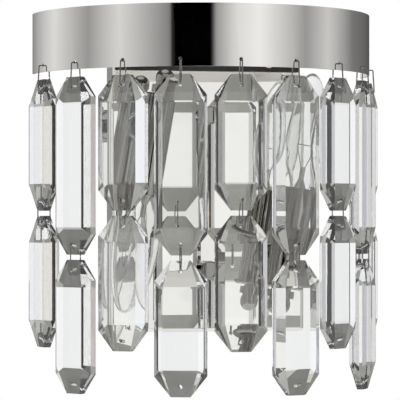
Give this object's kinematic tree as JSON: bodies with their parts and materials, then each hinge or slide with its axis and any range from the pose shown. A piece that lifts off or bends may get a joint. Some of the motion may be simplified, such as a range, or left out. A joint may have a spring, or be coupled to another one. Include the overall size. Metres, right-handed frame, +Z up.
{
  "type": "crystal wall sconce",
  "caption": "Wall sconce: a polished half-round band hangs two tiers of cut crystals before two leaning candle lamps, one head up and one head down.",
  "frame": {"origin": "centre of the two junction box screw slots of the mounting strap, on the wall plane", "axes": "+Y into the wall, -Y is the front, +Z up, X across the wall"},
  "size_m": [0.265, 0.1329, 0.2762],
  "materials": {
    "polished_nickel": "mirror-polished nickel plate, slightly warm",
    "wire": "bright plated steel wire",
    "crystal": "clear cut crystal, polished facets",
    "dark_steel": null,
    "zinc_steel": "zinc-plated steel",
    "green_steel": "green-coated ground screw",
    "socket_plastic": "moulded candelabra socket",
    "cap_brass": "brass bulb cap",
    "bulb_glass": "clear blown glass",
    "filament": "glass mount with bright wires",
    "lead_insulation": "insulated lead"
  },
  "bodies": {
    "fixture": {"band": "polished_nickel", "band_struts": "polished_nickel", "cross_bar": "dark_steel", "bar_screws": "polished_nickel", "backplate": "polished_nickel", "mount_strap": "zinc_steel", "plate_studs": "zinc_steel", "cap_nuts": "polished_nickel", "ground_screw": "green_steel", "arm_bosses": "polished_nickel", "arm_nuts": "zinc_steel", "arm_left": "polished_nickel", "arm_right": "polished_nickel", "lamp_stems": "polished_nickel", "candle_cups": "polished_nickel", "candle_sleeve_left": "polished_nickel", "candle_sleeve_right": "polished_nickel", "lamp_sockets": "socket_plastic", "bulb_caps": "cap_brass", "bulb_glass_left": "bulb_glass", "bulb_glass_right": "bulb_glass", "bulb_filaments": "filament", "lamp_leads": "lead_insulation"},
    "upper_1": {"upper_ring_1": "wire", "upper_crystal_1": "crystal"},
    "lower_1": {"crystal_link_1": "wire", "lower_crystal_1": "crystal"},
    "upper_2": {"upper_ring_2": "wire", "upper_crystal_2": "crystal"},
    "lower_2": {"crystal_link_2": "wire", "lower_crystal_2": "crystal"},
    "upper_3": {"upper_ring_3": "wire", "upper_crystal_3": "crystal"},
    "lower_3": {"crystal_link_3": "wire", "lower_crystal_3": "crystal"},
    "upper_4": {"upper_ring_4": "wire", "upper_crystal_4": "crystal"},
    "lower_4": {"crystal_link_4": "wire", "lower_crystal_4": "crystal"},
    "upper_5": {"upper_ring_5": "wire", "upper_crystal_5": "crystal"},
    "lower_5": {"crystal_link_5": "wire", "lower_crystal_5": "crystal"},
    "upper_6": {"upper_ring_6": "wire", "upper_crystal_6": "crystal"},
    "lower_6": {"crystal_link_6": "wire", "lower_crystal_6": "crystal"},
    "upper_7": {"upper_ring_7": "wire", "upper_crystal_7": "crystal"},
    "lower_7": {"crystal_link_7": "wire", "lower_crystal_7": "crystal"},
    "upper_8": {"upper_ring_8": "wire", "upper_crystal_8": "crystal"},
    "lower_8": {"crystal_link_8": "wire", "lower_crystal_8": "crystal"},
    "upper_9": {"upper_ring_9": "wire", "upper_crystal_9": "crystal"},
    "lower_9": {"crystal_link_9": "wire", "lower_crystal_9": "crystal"}
  },
  "joints": [
    {"name": "upper_swing_1", "type": "hinge", "parent": "fixture", "child": "upper_1", "pos_m": [-0.12311, -0.02797, 0.0922], "axis": [-0.2215, 0.9751, 0], "range_deg": [-2, 25]},
    {"name": "lower_swing_1", "type": "hinge", "parent": "upper_1", "child": "lower_1", "pos_m": [-0.12311, -0.02797, -0.0061], "axis": [-0.2215, 0.9751, 0], "range_deg": [-2, 5]},
    {"name": "upper_swing_2", "type": "hinge", "parent": "fixture", "child": "upper_2", "pos_m": [-0.10695, -0.06709, 0.0922], "axis": [-0.5314, 0.8471, 0], "range_deg": [-2, 25]},
    {"name": "lower_swing_2", "type": "hinge", "parent": "upper_2", "child": "lower_2", "pos_m": [-0.10695, -0.06709, -0.0376], "axis": [-0.5314, 0.8471, 0], "range_deg": [-2, 5]},
    {"name": "upper_swing_3", "type": "hinge", "parent": "fixture", "child": "upper_3", "pos_m": [-0.07876, -0.09867, 0.0922], "axis": [-0.7815, 0.6239, 0], "range_deg": [-2, 25]},
    {"name": "lower_swing_3", "type": "hinge", "parent": "upper_3", "child": "lower_3", "pos_m": [-0.07876, -0.09867, -0.0061], "axis": [-0.7815, 0.6239, 0], "range_deg": [-2, 5]},
    {"name": "upper_swing_4", "type": "hinge", "parent": "fixture", "child": "upper_4", "pos_m": [-0.04173, -0.11915, 0.0922], "axis": [-0.9438, 0.3305, 0], "range_deg": [-2, 25]},
    {"name": "lower_swing_4", "type": "hinge", "parent": "upper_4", "child": "lower_4", "pos_m": [-0.04173, -0.11915, -0.0376], "axis": [-0.9438, 0.3305, 0], "range_deg": [-2, 5]},
    {"name": "upper_swing_5", "type": "hinge", "parent": "fixture", "child": "upper_5", "pos_m": [0, -0.12625, 0.0922], "axis": [-1, 0, 0], "range_deg": [-2, 25]},
    {"name": "lower_swing_5", "type": "hinge", "parent": "upper_5", "child": "lower_5", "pos_m": [0, -0.12625, -0.0061], "axis": [-1, 0, 0], "range_deg": [-2, 5]},
    {"name": "upper_swing_6", "type": "hinge", "parent": "fixture", "child": "upper_6", "pos_m": [0.04173, -0.11915, 0.0922], "axis": [-0.9438, -0.3305, 0], "range_deg": [-2, 25]},
    {"name": "lower_swing_6", "type": "hinge", "parent": "upper_6", "child": "lower_6", "pos_m": [0.04173, -0.11915, -0.0376], "axis": [-0.9438, -0.3305, 0], "range_deg": [-2, 5]},
    {"name": "upper_swing_7", "type": "hinge", "parent": "fixture", "child": "upper_7", "pos_m": [0.07876, -0.09867, 0.0922], "axis": [-0.7815, -0.6239, 0], "range_deg": [-2, 25]},
    {"name": "lower_swing_7", "type": "hinge", "parent": "upper_7", "child": "lower_7", "pos_m": [0.07876, -0.09867, -0.0061], "axis": [-0.7815, -0.6239, 0], "range_deg": [-2, 5]},
    {"name": "upper_swing_8", "type": "hinge", "parent": "fixture", "child": "upper_8", "pos_m": [0.10695, -0.06709, 0.0922], "axis": [-0.5314, -0.8471, 0], "range_deg": [-2, 25]},
    {"name": "lower_swing_8", "type": "hinge", "parent": "upper_8", "child": "lower_8", "pos_m": [0.10695, -0.06709, -0.0376], "axis": [-0.5314, -0.8471, 0], "range_deg": [-2, 5]},
    {"name": "upper_swing_9", "type": "hinge", "parent": "fixture", "child": "upper_9", "pos_m": [0.12311, -0.02797, 0.0922], "axis": [-0.2215, -0.9751, 0], "range_deg": [-2, 25]},
    {"name": "lower_swing_9", "type": "hinge", "parent": "upper_9", "child": "lower_9", "pos_m": [0.12311, -0.02797, -0.0061], "axis": [-0.2215, -0.9751, 0], "range_deg": [-2, 5]}
  ]
}
